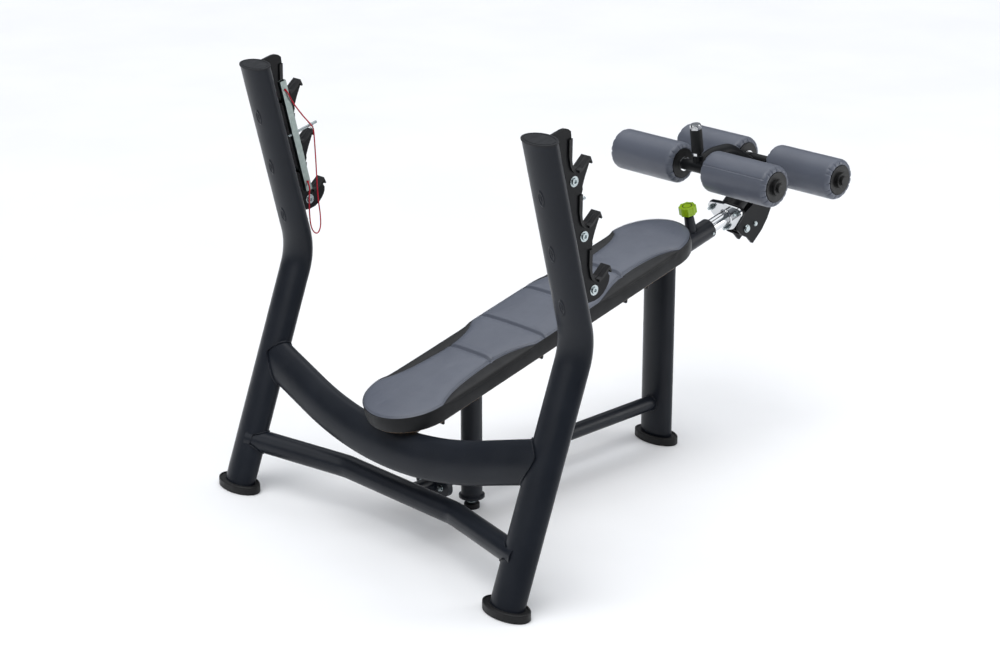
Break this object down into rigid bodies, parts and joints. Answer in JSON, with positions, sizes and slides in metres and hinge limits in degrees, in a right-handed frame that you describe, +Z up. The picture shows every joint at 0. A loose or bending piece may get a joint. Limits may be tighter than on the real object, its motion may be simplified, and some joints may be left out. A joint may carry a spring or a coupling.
{
  "type": "olympic decline weight bench",
  "caption": "Decline weight bench with bar racks on leaning oval uprights, a padded board and a sliding leg roller carriage.",
  "frame": {"origin": "on the floor, under the middle of the bench's length and width", "axes": "+X along the bench from the head end to the foot end, +Y to the left when looking along +X, +Z up"},
  "size_m": [1.6615, 1.254, 1.2139],
  "materials": {
    "frame_paint": "satin powder coat, charcoal black",
    "black_paint": "satin powder coat, black",
    "cap_plastic": "moulded, matt",
    "foot_rubber": "moulded, matt",
    "bush_plastic": "moulded, matt",
    "steel": "bright drawn",
    "zinc": "zinc plated",
    "galvanised": "galvanised",
    "chrome": "polished",
    "knob_plastic": "moulded, lime green",
    "plywood": "plain plywood, hidden",
    "upholstery": "grey synthetic leather over foam, black sides and inserts",
    "liner_plastic": "wear resistant, moulded",
    "cord_red": "braided cord",
    "roller_foam": "grey synthetic leather over foam",
    "core_plastic": "moulded",
    "grip_rubber": "moulded"
  },
  "bodies": {
    "bench": {"upright_left": "frame_paint", "upright_right": "frame_paint", "upright_cap_left": "cap_plastic", "upright_cap_right": "cap_plastic", "foot_cup_left": "foot_rubber", "foot_cup_right": "foot_rubber", "foot_cup_rear": "foot_rubber", "arc_crossbar": "frame_paint", "lower_crossbar": "frame_paint", "crossbar_bracket": "frame_paint", "lower_rail": "frame_paint", "rail_bolts": "zinc", "rear_leg": "frame_paint", "front_leg": "frame_paint", "levelling_stem": "zinc", "levelling_foot": "foot_rubber", "spine_tube": "frame_paint", "spine_bush": "bush_plastic", "bush_screw": "zinc", "pin_barrel": "frame_paint", "pin_spring": "steel", "pad_board": "plywood", "pad_cushion": "upholstery", "pad_mount_head": "black_paint", "pad_mount_mid": "black_paint", "pad_mount_foot": "black_paint", "rack_plate_left": "black_paint", "rack_plate_right": "black_paint", "hook_liners_left": "liner_plastic", "hook_liners_right": "liner_plastic", "rack_bolts_left": "zinc", "rack_bolts_right": "zinc", "lock_channel_left": "galvanised", "lock_channel_right": "galvanised", "lanyard_left": "cord_red", "lanyard_right": "cord_red"},
    "carriage": {"slide_tube": "chrome", "flange_bolts": "zinc", "carriage_arm": "black_paint", "carriage_stub": "black_paint", "carriage_plate_left": "black_paint", "carriage_plate_right": "black_paint", "carriage_bolts": "zinc", "front_axle": "black_paint", "rear_axle": "black_paint", "axle_collars": "chrome", "handle_post": "chrome", "handle_grip": "grip_rubber"},
    "pull_pin": {"pin_plunger": "steel", "pin_knob": "knob_plastic"},
    "roller_fl": {"roller_front_left": "roller_foam", "core_front_left": "core_plastic"},
    "roller_fr": {"roller_front_right": "roller_foam", "core_front_right": "core_plastic"},
    "roller_rl": {"roller_rear_left": "roller_foam", "core_rear_left": "core_plastic"},
    "roller_rr": {"roller_rear_right": "roller_foam", "core_rear_right": "core_plastic"},
    "bar_pin_left": {"lock_pin_left": "zinc"},
    "bar_pin_right": {"lock_pin_right": "zinc"}
  },
  "joints": [
    {"name": "leg_slide", "type": "slide", "parent": "bench", "child": "carriage", "axis": [0.9673, 0, 0.2534], "range_m": [-0.03, 0.12]},
    {"name": "knob_pull", "type": "slide", "parent": "bench", "child": "pull_pin", "axis": [-0.2534, 0, 0.9673], "range_m": [-0.008, 0], "deforming": ["pin_spring"]},
    {"name": "spin_fl", "type": "hinge", "parent": "carriage", "child": "roller_fl", "pos_m": [0.4875, 0.178, 0.807], "axis": [0, 1, 0], "continuous": true},
    {"name": "spin_fr", "type": "hinge", "parent": "carriage", "child": "roller_fr", "pos_m": [0.4875, -0.178, 0.807], "axis": [0, 1, 0], "continuous": true},
    {"name": "spin_rl", "type": "hinge", "parent": "carriage", "child": "roller_rl", "pos_m": [0.77, 0.178, 0.775], "axis": [0, 1, 0], "continuous": true},
    {"name": "spin_rr", "type": "hinge", "parent": "carriage", "child": "roller_rr", "pos_m": [0.77, -0.178, 0.775], "axis": [0, 1, 0], "continuous": true},
    {"name": "lock_pin_slide_left", "type": "slide", "parent": "bench", "child": "bar_pin_left", "axis": [0.9698, 0, 0.244], "range_m": [-0.002, 0.012], "deforming": ["lanyard_left"]},
    {"name": "lock_pin_slide_right", "type": "slide", "parent": "bench", "child": "bar_pin_right", "axis": [0.9698, 0, 0.244], "range_m": [-0.002, 0.012], "deforming": ["lanyard_right"]}
  ]
}
